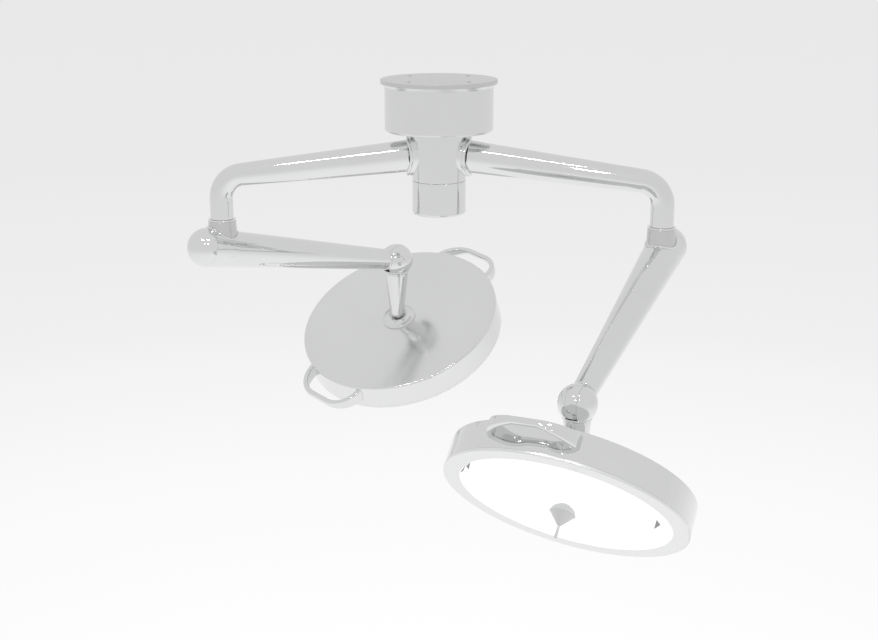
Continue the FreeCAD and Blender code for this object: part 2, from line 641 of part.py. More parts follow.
# ---- one side: the head. The frame stands on the centre of the head's back, +Z out of the back --
def ball_socket():
    """Cover plate on the back, its seat for the stem's foot, and the tongue that the foot is pinned to."""
    seat_r = STEM_FOOT_R + GAP
    clear = math.radians(TILT_MOST + 2)
    edge_r = seat_r * math.cos(clear)
    edge_h = TILT_H - seat_r * math.sin(clear)
    lip_in = LIP_R - LIP_BEAD
    lip_foot = LIP_TOP - 1.6 * LIP_BEAD
    body = turned([
        (0, CUP_FLOOR), (CUP_R - 2, CUP_FLOOR), (CUP_R - 2, 0), (FLANGE_R, 0), (FLANGE_R, FLANGE_BEAD),
        (FLANGE_R - 2 * FLANGE_BEAD, FLANGE_BEAD, FLANGE_BEAD), (FLANGE_R - 2 * FLANGE_BEAD - 2, 1.8),
        (LIP_R + LIP_BEAD, lip_foot, -1.2), (lip_in, lip_foot, 1.6 * LIP_BEAD), (edge_r, edge_h), (0, edge_h),
    ])
    body = body.cut(ball(seat_r, (0, 0, TILT_H)))
    tongue = block((-TONGUE_WIDE, -TONGUE_THICK, CUP_FLOOR + 2), (TONGUE_WIDE, TONGUE_THICK, TILT_H))
    tongue = tongue.fuse(cylinder(TONGUE_WIDE, (0, -TONGUE_THICK, TILT_H), (0, TONGUE_THICK, TILT_H)))
    return body.fuse(tongue).cut(cylinder(TILT_PIN_R + RUN, (0, -20, TILT_H), (0, 20, TILT_H)))


def head_housing():
    """Back and wall in one pressing, with a rounded back edge."""
    edge = 5.0
    low = BEZEL_Z
    wall = HEAD_WALL
    inner = HEAD_R - wall
    return turned([
        (CUP_R, 0), (HEAD_R - edge, 0), (HEAD_R, -edge, edge * 0.29), (HEAD_R, low), (inner, low),
        (inner, -edge), (HEAD_R - edge, -wall, -(edge - wall) * 0.29), (CUP_R, -wall),
    ])


def bezel_ring():
    edge = 3.0
    low = -HEAD_T
    ledge = OPENING_R + 4
    return turned([
        (HEAD_R, BEZEL_Z - 0.2), (HEAD_R, low + edge), (HEAD_R - edge, low, edge * 0.29),
        (OPENING_R + 1, low), (OPENING_R, low + 1), (OPENING_R, GLASS_Z - GLASS_T),
        (ledge, GLASS_Z - GLASS_T), (ledge, GLASS_Z + 4),
        (ledge + 4, GLASS_Z + 4), (ledge + 4, BEZEL_Z - 0.2),
    ])


def front_glass():
    out = OPENING_R + 3.7
    front = GLASS_Z - GLASS_T
    return turned([(HUB_HOLE_R, GLASS_Z), (HUB_HOLE_R, front), (out, front), (out, GLASS_Z)])


def reflector():
    """Shallow bowl behind the glass, open round the lamp."""
    out = OPENING_R + 3
    low = GLASS_Z + 1.0
    deep = -(HEAD_WALL + 12)
    return turned([
        (out, low), (out, low + 2), (out - 20, low + 10), (70, deep + 1.5), (60, deep + 1.5), (60, deep),
        (70, deep),
        (out - 21, low + 8), (out - 4, low),
    ])


def lamp_module():
    """Lamp carrier bolted to the back: heat sink, collar for the focus shaft, and a ring of lenses."""
    top = -HEAD_WALL
    body = Part.makeCylinder(56, 10, V(0, 0, top - 10))
    body = body.cut(Part.makeCylinder(CUP_R + 0.5, 30, V(0, 0, -20)))
    floor = LAMP_FLOOR
    shaft = Part.makeCylinder(HANDLE_SHAFT_R + RUN, 20, V(0, 0, floor - 12))
    body = body.fuse(Part.makeCylinder(56, 6, V(0, 0, floor - 6)).cut(shaft))
    rim = Part.makeCylinder(56, -floor - 6, V(0, 0, floor - 1))
    body = body.fuse(rim.cut(Part.makeCylinder(50, 40, V(0, 0, floor - 8))))
    lens = cone(9, 13, (38, 0, floor - 5), (38, 0, floor - 20))
    for one in around(lens, 6):
        body = body.fuse(one)
    return body


def focus_handle():
    """Centre knob that sets the light field: shaft, dome, rim, cone and a thin rod."""
    front = -HEAD_T
    shaft_top = LAMP_FLOOR + 2
    dome_top = GLASS_Z - GLASS_T - 1
    ring_z = front - HANDLE_RING_FRONT
    tip = ring_z - HANDLE_CONE
    body = turned([
        (0, shaft_top), (HANDLE_SHAFT_R + 3, shaft_top), (HANDLE_SHAFT_R + 3, LAMP_FLOOR + GAP),
        (HANDLE_SHAFT_R, LAMP_FLOOR + GAP), (HANDLE_SHAFT_R, dome_top), (HANDLE_DOME_TOP_R, dome_top),
        (HANDLE_RING_R - 1, ring_z + 1, 3.5), (HANDLE_RING_R, ring_z, 0.3),
        (HANDLE_RING_R - 2, ring_z - 1.6, 0.4), (HANDLE_ROD_R + 1.5, tip), (0, tip),
    ])
    rod = cylinder(HANDLE_ROD_R, (0, 0, tip + 2), (0, 0, front - HANDLE_REACH))
    rod = softened(rod, 1.2, lambda e: e.BoundBox.ZMax < front - HANDLE_REACH + 1)
    return body.fuse(rod)


def grips(angle):
    """Two D-shaped hand grips on opposite sides of the rim, sloping towards the lit side."""
    half = GRIP_SPAN / 2
    out = HEAD_R + GRIP_OUT
    root = HEAD_R * math.cos(math.asin(half / HEAD_R)) - 12
    outside = block((root, -half, -GRIP_WIDTH), (out, half, 0))
    outside = softened(outside, GRIP_CORNER, lambda e: e.BoundBox.ZLength > 1 and e.BoundBox.XMin > HEAD_R)
    inside = block((root - 10, -half + GRIP_BAND, -GRIP_WIDTH - 1), (out - GRIP_BAND, half - GRIP_BAND, 1))
    corner = GRIP_CORNER - GRIP_BAND
    inside = softened(inside, corner, lambda e: e.BoundBox.ZLength > 1 and e.BoundBox.XMin > HEAD_R - 5)
    loop = outside.cut(inside)
    flat = [e for e in loop.Edges if e.BoundBox.ZLength < 0.01 and e.BoundBox.XMax > root + 1]
    loop = loop.makeFillet(GRIP_ROUND, flat)
    loop.translate(V(0, 0, -GRIP_FROM_BACK))
    loop.rotate(V(HEAD_R, 0, -GRIP_FROM_BACK), V(0, 1, 0), GRIP_SLOPE)
    loop = loop.cut(Part.makeCylinder(HEAD_R + 0.1, 200, V(0, 0, -100)))
    return around(loop, 2, angle)


# ---- placing one side -------------------------------------------------------------------------
def build_side(name, pose):
    arm = spun(pose["arm"])
    elbow = arm.multVec(V(ARM_LENGTH, 0, 0))
    swing = spun(pose["swing"], elbow)
    lift = pose["lift"]
    pitch = FreeCAD.Rotation(V(0, 1, 0), -lift)
    spring = swing.multiply(FreeCAD.Placement(V(0, 0, PIVOT_Z), pitch))
    link = swing.multiply(FreeCAD.Placement(V(0, 0, PIVOT_Z - LINK_OFFSET), pitch))
    knuckle = spring.multVec(V(SPRING_ARM, 0, 0))
    upright = spun(pose["swing"], knuckle)
    hanging = spun(pose["lean"], knuckle)
    tilt_centre = knuckle - V(0, 0, DROP)
    lean = FreeCAD.Rotation(V(0, 0, 1), pose["lean"]).multiply(FreeCAD.Rotation(V(0, 1, 0), pose["tilt"]))
    back = tilt_centre - lean.multVec(V(0, 0, TILT_H))
    head = FreeCAD.Placement(back, lean)
    print(name, "elbow", elbow, "knuckle", knuckle, "tilt centre", tilt_centre, "back", back)

    save(name + "_extension_arm", extension_arm(), arm)
    save(name + "_elbow_bushes", elbow_bushes(), arm)
    save(name + "_elbow_spindle", elbow_spindle(), swing)
    save(name + "_swivel_collar", swivel_collar(), swing)
    save(name + "_shoulder_boot", shoulder_boot(lift), swing)
    save(name + "_arm_shell", arm_shell(pose["pin"]), spring)
    save(name + "_arm_end_cap", arm_end_cap(), spring)
    save(name + "_pivot_pin", pivot_pin(pose["pin"]), spring)
    save(name + "_balance_spring", balance_spring(), spring)
    save(name + "_spring_rod", spring_rod(), spring)
    save(name + "_arm_end_ring", arm_end_ring(), spring)
    save(name + "_knuckle_tongue", knuckle_tongue(), spring)
    save(name + "_level_link", level_link(), link)
    save(name + "_knuckle_fork", knuckle_fork(), upright)
    save(name + "_knuckle_pin", knuckle_pin(), upright)
    save(name + "_stem_bolt", stem_bolt(), upright)
    save(name + "_stem", stem(), hanging)
    save(name + "_ball_socket", ball_socket(), head)
    save(name + "_head_housing", head_housing(), head)
    save(name + "_bezel_ring", bezel_ring(), head)
    save(name + "_front_glass", front_glass(), head)
    save(name + "_reflector", reflector(), head)
    save(name + "_lamp_module", lamp_module(), head)
    save(name + "_focus_handle", focus_handle(), head)
    save(name + "_grips", grips(pose["grip"]), head)


save("ceiling_plate", ceiling_plate())
save("canopy", canopy())
save("canopy_screws", canopy_screws())
save("transformer", transformer())
save("main_spindle", main_spindle())
save("hub_body", hub_body())
save("hub_bushes", hub_bushes())
save("spindle_nut", spindle_nut())
save("slip_ring", slip_ring())
save("bottom_cap", bottom_cap())
for side_name, side_pose in SIDES.items():
    build_side(side_name, side_pose)
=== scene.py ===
import json
import math
import bpy
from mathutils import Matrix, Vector

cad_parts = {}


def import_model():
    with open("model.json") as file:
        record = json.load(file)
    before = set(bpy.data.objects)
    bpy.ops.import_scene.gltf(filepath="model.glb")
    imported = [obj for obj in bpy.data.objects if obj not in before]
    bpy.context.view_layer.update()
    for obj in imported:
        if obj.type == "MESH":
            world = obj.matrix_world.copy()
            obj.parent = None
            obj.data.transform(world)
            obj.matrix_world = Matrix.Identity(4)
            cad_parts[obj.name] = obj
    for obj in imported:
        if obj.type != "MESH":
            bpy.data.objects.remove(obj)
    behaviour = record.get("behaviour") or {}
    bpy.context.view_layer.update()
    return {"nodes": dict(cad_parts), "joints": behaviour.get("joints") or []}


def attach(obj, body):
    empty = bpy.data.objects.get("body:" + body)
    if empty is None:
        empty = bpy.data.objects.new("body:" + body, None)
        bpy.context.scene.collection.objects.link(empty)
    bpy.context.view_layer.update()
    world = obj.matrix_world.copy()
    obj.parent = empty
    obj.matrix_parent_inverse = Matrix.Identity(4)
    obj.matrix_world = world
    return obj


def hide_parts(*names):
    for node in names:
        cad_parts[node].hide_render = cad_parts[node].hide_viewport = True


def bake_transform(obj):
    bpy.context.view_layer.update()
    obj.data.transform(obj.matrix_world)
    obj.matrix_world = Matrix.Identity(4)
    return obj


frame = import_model()
NODES = frame["nodes"]
JOINTS = {j["name"]: j for j in frame["joints"]}
SIDES = ("left", "right")

# ---- sizes, in metres ----------------------------------------------------------
HEAD_R = 0.250
TILT_H = 0.017                # tilt axis above the head's back
WALL_FROM = 0.0012            # the back's finish gives way to the wall's this far inside the rim,
WALL_FULL = 0.0004            # and the wall's finish is whole from here outwards
AROUND = 96                   # points round a sleeve or a bead
HALVINGS = 30                 # steps of a search by halving
ARM_TOP_WITHIN = 0.08         # the spring arm's surface is no higher than this above its pivot
MOUTH_WITHIN = 0.2            # a socket's mouth is no farther than this along the arm's axis

ARM_BIG_R = 0.0445            # spring arm: radius of its big end
ARM_REAR = 0.0427             # its cone starts this far behind the lift pivot
ARM_TAPER = 0.0380            # loss of radius per length

SLEEVE_TOP_Z = -0.3190
SLEEVE_TOP_R = 0.0310
SLEEVE_FOOT_R = 0.0328
SLEEVE_LIP = 0.003            # its upper edge is turned in by this much
SLEEVE_EDGE = 0.0003          # bevel of its upper edge
SLEEVE_SINK = 0.001           # how far its foot goes into the arm
SLEEVE_FLARE = 1.5            # power by which it widens downwards
SLEEVE_STEPS = 18
SLEEVE_BEAD = 0.0026          # radius of the bead round its foot
BEAD_OUT = 0.6                # bead's middle outside the foot and above the arm, in bead radii
BEAD_UP = 0.35
BEAD_POINTS = 20
BEAD_HIGHEST = -0.3224        # keeps the bead under the collar where the arm is steep

GRIP_TURN = {"left": -18.0, "right": -2.0}    # degrees from the way that the head leans
GRIP_HALF = 0.085             # middle of the band's legs from the grip's own centre line
GRIP_REACH = 0.2955           # middle of the band from the head's axis
GRIP_CORNER = 0.0595
GRIP_CORNER_STEPS = 24
GRIP_ROOT = 0.226             # where the legs end, inside the wall
GRIP_THICK = 0.0065           # half the band's thickness
GRIP_POINTS = 28              # points round the band
GRIP_MID_HEIGHT = 0.014       # band's height half way between its legs
GRIP_LEG_HEIGHT = 0.020       # added height at GRIP_LEG_RUN in from the band's outermost line
GRIP_LEG_RUN = 0.06
GRIP_TOP = -0.0082            # band's upper edge from the head's back, at GRIP_TOP_AT
GRIP_TOP_AT = 0.240
GRIP_SLOPE = 0.16             # fall of the upper edge per length outwards

CLIP_BACK = -0.0645           # half a millimetre inside the glass's front face
CLIP_THICK = 0.002
CLIPS = (                     # three corners of each tab: along the lean, across it
    ((-0.1323, 0.1697), (-0.0863, 0.1968), (-0.0948, 0.1880)),
    ((-0.1260, 0.1710), (-0.1480, 0.1550), (-0.1100, 0.1705)),
    ((-0.0170, -0.1910), (0.0070, -0.1935), (0.0360, -0.1750)),
)

ROOT_SLOPE = math.radians(7.27)
ROOT_Z = -0.1587              # where an extension arm's axis meets the column's
ROOT_BEAD_R = 0.0393
ROOT_BEAD = 0.0044
ROOT_BEAD_POINTS = 16
SOCKET_REACH = 0.068          # the socket's mouth from the column's axis

# ---- stage, in metres, degrees and watts -----------------------------------------
FLOOR_Z = -2.0
FLOOR_SIZE = 400.0
FLOOR_REACH = 40.0            # distance at which the floor's painted pool of light ends
FLOOR_PAINTED_LIGHT = (              # painted pool of light on the floor: distance from below the object, and grey level there
    (0.0, 1.0), (1.2, 1.0), (3.0, 0.945), (5.2, 0.86), (7.6, 0.833), (11.2, 0.807),
    (36.0, 0.797), (40.0, 0.797),
)
# strength of the floor's glow, which carries the painted pool of light
FLOOR_GLOW = 0.9
FLOOR_OWN = 0.12              # what the seen floor reflects, over its glow
FLOOR_BOUNCE = 0.8            # what the floor gives back to the object
WALL_LEVEL = 0.80             # what metal sees all round
CAMERA_AT = (0.0, -3.0797, 0.3227)
CAMERA_DOWN = 15.648
CAMERA_LENS = 58.03           # mm, for a sensor SENSOR mm wide
SENSOR = 36.0
LAMP_TARGET = (0, 0, -0.45)
LAMPS = (                     # name, place, power, length, width
    ("left_strip", (-1.95, -2.6, 3.8), 10.0, 1.1, 0.06),
    ("right_strip", (0.6, -2.6, 3.8), 7.0, 0.8, 0.035),
    ("key", (-0.9, -3.8, 2.2), 3.5, 0.16, 0.16),
    ("fill", (0.7, -3.8, 2.2), 3.5, 0.16, 0.16),
)


# ---- places and meshes -------------------------------------------------------------
def head_frame(side):
    """Middle of a head's back, the way it leans, the way across and its axis, at rest."""
    axis = Vector(JOINTS[side + "_focus_turn"]["axis"]).normalized()
    across = -Vector(JOINTS[side + "_head_tilt"]["axis"]).normalized()
    back = Vector(JOINTS[side + "_head_tilt"]["pos_m"]) - axis * TILT_H
    return back, across.cross(axis), across, axis


def angles(count):
    """Even steps round a circle, in radians."""
    return [2 * math.pi * k / count for k in range(count)]


def last_inside(inside, high):
    """The longest distance up to high at which inside(distance) still holds, by halving."""
    low = 0.0
    for _ in range(HALVINGS):
        middle = (low + high) / 2
        if inside(middle):
            low = middle
        else:
            high = middle
    return low


def piece_of(name, points, faces):
    """A new object in the scene, from its points and faces."""
    mesh = bpy.data.meshes.new(name)
    mesh.from_pydata(points, [], faces)
    piece = bpy.data.objects.new(name, mesh)
    bpy.context.scene.collection.objects.link(piece)
    return piece


def mesh_of(name, rows, closed):
    """A smooth mesh from rows of points; closed joins the last row to the first."""
    points = [tuple(p) for row in rows for p in row]
    count = len(rows[0])
    faces = []
    for i in range(len(rows) if closed else len(rows) - 1):
        low = i * count
        high = (i + 1) % len(rows) * count
        for k in range(count):
            after = (k + 1) % count
            faces.append((low + k, low + after, high + after, high + k))
    piece = piece_of(name, points, faces)
    piece.data.shade_smooth()
    return piece


# ---- node helpers ---------------------------------------------------------------
class Shader:
    """A material's node tree, with short calls for the nodes used here."""

    def __init__(self, name):
        self.material = bpy.data.materials.new(name)
        self.material.use_nodes = True
        self.tree = self.material.node_tree
        self.tree.nodes.clear()
        self.out = self.add("ShaderNodeOutputMaterial")

    def add(self, kind, **settings):
        node = self.tree.nodes.new(kind)
        for key, value in settings.items():
            setattr(node, key, value)
        return node

    def link(self, source, target):
        self.tree.links.new(source, target)

    def math(self, operation, first, second, clamp=False):
        node = self.add("ShaderNodeMath", operation=operation, use_clamp=clamp)
        for socket, value in zip(node.inputs, (first, second)):
            if isinstance(value, (int, float)):
                socket.default_value = value
            else:
                self.link(value, socket)
        return node.outputs[0]

    def vector(self, operation, first, second):
        """A vector operation on a link and a fixed vector."""
        node = self.add("ShaderNodeVectorMath", operation=operation)
        self.link(first, node.inputs[0])
        node.inputs[1].default_value = second
        return node.outputs[0]

    def length(self, vector):
        node = self.add("ShaderNodeVectorMath", operation="LENGTH")
        self.link(vector, node.inputs[0])
        return node.outputs["Value"]

    def place(self, scale=(1, 1, 1)):
        """Object coordinates, stretched by scale."""
        where = self.add("ShaderNodeTexCoord")
        mapping = self.add("ShaderNodeMapping")
        mapping.inputs["Scale"].default_value = scale
        self.link(where.outputs["Object"], mapping.inputs["Vector"])
        return mapping.outputs["Vector"]

    def noise(self, vector, scale, detail=3.0):
        node = self.add("ShaderNodeTexNoise")
        node.inputs["Scale"].default_value = scale
        node.inputs["Detail"].default_value = detail
        node.inputs["Roughness"].default_value = 0.55
        self.link(vector, node.inputs["Vector"])
        return node.outputs["Fac"]

    def ramp(self, factor, low, high, start=0.3, end=0.7):
        """Turn a factor that runs from start to end into a value from low to high."""
        node = self.add("ShaderNodeMapRange")
        node.inputs["From Min"].default_value = start
        node.inputs["From Max"].default_value = end
        node.inputs["To Min"].default_value = low
        node.inputs["To Max"].default_value = high
        self.link(factor, node.inputs["Value"])
        return node.outputs["Result"]

    def colours(self, factor, first, second):
        node = self.add("ShaderNodeMix", data_type="RGBA")
        self.link(factor, node.inputs["Factor"])
        node.inputs["A"].default_value = (*first, 1.0)
        node.inputs["B"].default_value = (*second, 1.0)
        return node.outputs["Result"]

    def values(self, factor, first, second):
        """Mix two linked values."""
        node = self.add("ShaderNodeMix")
        self.link(factor, node.inputs["Factor"])
        self.link(first, node.inputs["A"])
        self.link(second, node.inputs["B"])
        return node.outputs["Result"]

    def bump(self, height, strength, distance):
        node = self.add("ShaderNodeBump")
        node.inputs["Strength"].default_value = strength
        node.inputs["Distance"].default_value = distance
        self.link(height, node.inputs["Height"])
        return node.outputs["Normal"]

    def diffuse(self, level):
        node = self.add("ShaderNodeBsdfDiffuse")
        node.inputs["Color"].default_value = (*grey(level), 1)
        return node.outputs[0]

    def principled(self, **inputs):
        node = self.add("ShaderNodeBsdfPrincipled")
        for name, value in inputs.items():
            socket = node.inputs[name.replace("_", " ")]
            if hasattr(value, "is_output"):
                self.link(value, socket)
            else:
                socket.default_value = value
        self.link(node.outputs[0], self.out.inputs["Surface"])


def grey(level, tint=0.0):
    return (level - tint, level, level + tint)


# ---- materials --------------------------------------------------------------------
def chrome():
    """Polished chrome with faint handling smears and hairline polishing marks."""
    s = Shader("polished_chrome")
    where = s.place()
    smear = s.noise(where, 7.0, 4.0)
    hairs = s.noise(s.place((220, 220, 14)), 3.0, 2.0)
    colour = s.colours(s.ramp(smear, 0, 1), grey(0.755, 0.002), grey(0.78, 0.003))
    rough = s.math("ADD", s.ramp(smear, 0.025, 0.05, 0.35, 0.7), s.ramp(hairs, 0.0, 0.015))
    ripple = s.bump(s.noise(where, 18.0, 1.0), 0.02, 0.002)
    s.principled(Base_Color=colour, Metallic=1.0, Roughness=rough, Normal=ripple)
    return s.material


def cloud_and_grain(s):
    """A soft mottle and a fine grain, shared by the satin metals."""
    return s.noise(s.place(), 5.0, 4.0), s.noise(s.place((90, 90, 90)), 12.0, 2.0)


def satin(name, level, rough, metallic=1.0):
    """Satin metal: blurred reflections, a soft mottle and a fine grain."""
    s = Shader(name)
    cloud, grain = cloud_and_grain(s)
    colour = s.colours(s.ramp(cloud, 0, 1), grey(level - 0.012, 0.002), grey(level + 0.012, 0.002))
    roughness = s.math("ADD", s.ramp(cloud, rough - 0.03, rough + 0.03), s.ramp(grain, -0.02, 0.02))
    normal = s.bump(grain, 0.03, 0.0005)
    s.principled(Base_Color=colour, Metallic=metallic, Roughness=roughness, Normal=normal)
    return s.material


def housing(side):
    """A head's housing: softly blurred back, and a polished wall that reflects the grips."""
    s = Shader(side + "_housing")
    cloud, grain = cloud_and_grain(s)
    back, _, _, axis = head_frame(side)
    offset = s.vector("SUBTRACT", s.place(), back)
    radius = s.length(s.vector("CROSS_PRODUCT", offset, axis))
    wall = s.ramp(radius, 0.0, 1.0, HEAD_R - WALL_FROM, HEAD_R - WALL_FULL)
    blurred = s.math("ADD", s.ramp(cloud, 0.13, 0.2), s.ramp(grain, -0.02, 0.02))
    polished = s.math("ADD", s.ramp(cloud, 0.03, 0.06), s.ramp(grain, 0.0, 0.01))
    rough = s.values(wall, blurred, polished)
    colour = s.colours(s.ramp(cloud, 0, 1), grey(0.765, 0.002), grey(0.79, 0.002))
    normal = s.bump(grain, 0.02, 0.0003)
    s.principled(Base_Color=colour, Metallic=1.0, Roughness=rough, Normal=normal)
    return s.material


def sleeve_rubber():
    """Silvery soft sleeve at the shoulder, faintly stippled."""
    s = Shader("silver_sleeve")
    cloud = s.noise(s.place(), 30.0)
    colour = s.colours(s.ramp(cloud, 0, 1), grey(0.62), grey(0.66))
    normal = s.bump(s.noise(s.place(), 900.0, 2.0), 0.05, 0.0003)
    s.principled(Base_Color=colour, Metallic=0.85, Roughness=s.ramp(cloud, 0.14, 0.2), Normal=normal)
    return s.material


def lit_glass():
    """Frosted front glass, lit from behind."""
    s = Shader("lit_glass")
    cloud = s.noise(s.place(), 6.0)
    frost = s.noise(s.place(), 700.0, 2.0)
    colour = s.colours(s.ramp(cloud, 0, 1), grey(0.25), grey(0.28))
    glow = s.colours(s.ramp(cloud, 0, 1), (0.985, 0.99, 1.0), (1.0, 1.0, 1.0))
    s.principled(Base_Color=colour, Roughness=s.ramp(frost, 0.12, 0.2), Emission_Color=glow,
                 Emission_Strength=0.84, Normal=s.bump(frost, 0.05, 0.0004))
    return s.material


def plain(name, colour, rough, metallic=0.0, scale=60.0):
    """Inner parts: one colour with a mottle and a fine grain."""
    s = Shader(name)
    cloud = s.noise(s.place(), scale, 4.0)
    dark = tuple(c * 0.85 for c in colour)
    shade = s.colours(s.ramp(cloud, 0, 1), dark, colour)
    roughness = s.ramp(cloud, rough - 0.05, rough + 0.08)
    normal = s.bump(cloud, 0.1, 0.0005)
    s.principled(Base_Color=shade, Metallic=metallic, Roughness=roughness, Normal=normal)
    return s.material


def make_materials():
    return {
        "chrome": chrome(),
        "left_housing": housing("left"),
        "right_housing": housing("right"),
        "canopy_satin": satin("canopy_satin", 0.77, 0.22),
        "plate_satin": satin("plate_satin", 0.64, 0.3),
        "knob": satin("knob_satin", 0.62, 0.2),
        "dish": satin("dish_satin", 0.8, 0.12, 0.75),
        "bezel_satin": satin("bezel_satin", 0.86, 0.3),
        "sleeve": sleeve_rubber(),
        "glass": lit_glass(),
        "steel": plain("machined_steel", (0.6, 0.6, 0.61), 0.3, 1.0, 120.0),
        "spring": plain("oiled_spring", (0.3, 0.3, 0.31), 0.35, 1.0, 150.0),
        "bronze": plain("bush_bronze", (0.6, 0.45, 0.24), 0.35, 1.0, 150.0),
        "winding": plain("taped_winding", (0.7, 0.58, 0.24), 0.6),
        "black": plain("black_plastic", (0.03, 0.03, 0.032), 0.5),
        "reflector": plain("bright_reflector", (0.88, 0.88, 0.88), 0.2, 1.0),
        "cast": plain("cast_heat_sink", (0.5, 0.5, 0.51), 0.45, 1.0),
    }


# CAD nodes that aren't chrome, without their side
FINISH = {
    "ceiling_plate": "plate_satin", "canopy": "canopy_satin", "canopy_screws": "steel",
    "transformer": "winding", "slip_ring": "black",
    "main_spindle": "steel", "spindle_nut": "steel", "elbow_spindle": "steel",
    "hub_bushes": "bronze", "elbow_bushes": "bronze",
    "balance_spring": "spring", "spring_rod": "steel", "level_link": "steel",
    "knuckle_pin": "steel", "stem_bolt": "steel", "shoulder_boot": "sleeve",
    "ball_socket": "dish", "bezel_ring": "bezel_satin", "front_glass": "glass",
    "reflector": "reflector", "lamp_module": "cast", "focus_handle": "knob",
}


def finish_of(name):
    """Which material a CAD node gets."""
    side, _, part = name.partition("_")
    if side not in SIDES:
        return FINISH.get(name, "chrome")
    if part == "head_housing":
        return side + "_housing"
    return FINISH.get(part, "chrome")


def paint_nodes(materials):
    for name, node in NODES.items():
        node.data.materials.clear()
        node.data.materials.append(materials[finish_of(name)])


# ---- shoulder sleeves ----------------------------------------------------------------
def arm_top(pivot, along, radius, angle):
    """Height of the spring arm's surface at this radius and angle round the elbow's axis."""
    x = radius * math.cos(angle)
    y = radius * math.sin(angle)

    def inside(height):
        point = Vector((x, y, height))
        reach = point.dot(along)
        return (point - along * reach).length < ARM_BIG_R - ARM_TAPER * (reach + ARM_REAR)

    return pivot.z + last_inside(inside, ARM_TOP_WITHIN)


def shoulder_sleeve(side, materials):
    """The soft sleeve from the collar to the arm, and the bead that follows its saddle-shaped foot."""
    pivot = Vector(JOINTS[side + "_arm_lift"]["pos_m"])
    along = (Vector(JOINTS[side + "_knuckle_level"]["pos_m"]) - pivot).normalized()
    turns = angles(AROUND)

    def ring_at(radius, height):
        return [(pivot.x + radius * math.cos(a), pivot.y + radius * math.sin(a), height(a)) for a in turns]

    def saddle(radius, above):
        """Height at each angle, above the arm's surface but never above BEAD_HIGHEST."""
        return {a: min(arm_top(pivot, along, radius, a) + above, BEAD_HIGHEST) for a in turns}

    foot = saddle(SLEEVE_FOOT_R, -SLEEVE_SINK)
    rows = [ring_at(SLEEVE_TOP_R - SLEEVE_LIP, lambda a: SLEEVE_TOP_Z),
            ring_at(SLEEVE_TOP_R - SLEEVE_EDGE, lambda a: SLEEVE_TOP_Z)]
    for i in range(SLEEVE_STEPS + 1):
        part = i / SLEEVE_STEPS
        radius = SLEEVE_TOP_R + (SLEEVE_FOOT_R - SLEEVE_TOP_R) * part ** SLEEVE_FLARE
        rows.append(ring_at(
            radius, lambda a: SLEEVE_TOP_Z - SLEEVE_EDGE + (foot[a] - SLEEVE_TOP_Z) * part))
    sleeve = mesh_of(side + "_sleeve", rows, False)
    sleeve.data.materials.append(materials["sleeve"])
    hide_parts(side + "_shoulder_boot")
    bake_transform(sleeve)

    middle = SLEEVE_FOOT_R + BEAD_OUT * SLEEVE_BEAD
    line = saddle(middle, BEAD_UP * SLEEVE_BEAD)
    rows = []
    for turn in angles(BEAD_POINTS):
        up = SLEEVE_BEAD * math.sin(turn)
        rows.append(ring_at(middle + SLEEVE_BEAD * math.cos(turn), lambda a: line[a] + up))
    bead = mesh_of(side + "_sleeve_bead", rows, True)
    bead.data.materials.append(materials["chrome"])
    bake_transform(bead)


# ---- hand grips -----------------------------------------------------------------------
def grip_path():
    """(outwards, across, direction outwards, direction across) along the middle of the band."""
    centre_out = GRIP_REACH - GRIP_CORNER
    centre_across = GRIP_HALF - GRIP_CORNER
    half = [(GRIP_ROOT, GRIP_HALF, 0.0, 1.0)]
    for i in range(GRIP_CORNER_STEPS + 1):
        turn = math.radians(90 - 90 * i / GRIP_CORNER_STEPS)
        half.append((centre_out + GRIP_CORNER * math.cos(turn), centre_across + GRIP_CORNER * math.sin(turn),
                     math.cos(turn), math.sin(turn)))
    half.append((GRIP_REACH, 0.0, 1.0, 0.0))
    other = [(x, -y, a, -b) for x, y, a, b in reversed(half[:-1])]
    return half + other


def squared(value):
    """Fills a circle's sine or cosine out towards a rounded square's."""
    return math.copysign(abs(value) ** 0.5, value)


def grips(side, materials):
    """Two bent grips; each band is deepest at its legs and sits a little towards the lit side."""
    back, lean, across, axis = head_frame(side)
    pieces = []
    for k in range(2):
        turn = math.radians(GRIP_TURN[side] + 180 * k)
        out = lean * math.cos(turn) + across * math.sin(turn)
        way = across * math.cos(turn) - lean * math.sin(turn)
        rows = []
        for x, y, nx, ny in grip_path():
            top = GRIP_TOP - GRIP_SLOPE * (x - GRIP_TOP_AT)
            inwards = max(0.0, GRIP_REACH - x) / GRIP_LEG_RUN
            height = GRIP_MID_HEIGHT + GRIP_LEG_HEIGHT * math.sqrt(inwards)
            row = []
            for a in angles(GRIP_POINTS):
                sideways = GRIP_THICK * squared(math.cos(a))
                up = height / 2 * squared(math.sin(a))
                row.append(back + out * (x + nx * sideways) + way * (y + ny * sideways)
                           + axis * (top - height / 2 + up))
            rows.append(row)
        pieces.append(mesh_of("%s_grip_%d" % (side, k + 1), rows, False))
    with bpy.context.temp_override(active_object=pieces[0], selected_editable_objects=pieces):
        bpy.ops.object.join()
    band = pieces[0]
    band.data.materials.append(materials["chrome"])
    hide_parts(side + "_grips")
    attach(band, side + "_head")


# ---- clips that hold the front glass ---------------------------------------------------
def glass_clips(side, materials):
    """Spring tabs at the edge of the opening: two side by side, and one about opposite."""
    back, lean, across, axis = head_frame(side)
    points = []
    faces = []
    for corners in CLIPS:
        first = len(points)
        for level in (CLIP_BACK, CLIP_BACK - CLIP_THICK):
            for x, y in corners:
                points.append(tuple(back + lean * x + across * y + axis * level))
        faces += [(first, first + 1, first + 2), (first + 5, first + 4, first + 3)]
        for i in range(3):
            j = (i + 1) % 3
            faces.append((first + i, first + 3 + i, first + 3 + j, first + j))
    clips = piece_of(side + "_glass_clips", points, faces)
    clips.data.materials.append(materials["spring"])
    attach(clips, side + "_head")


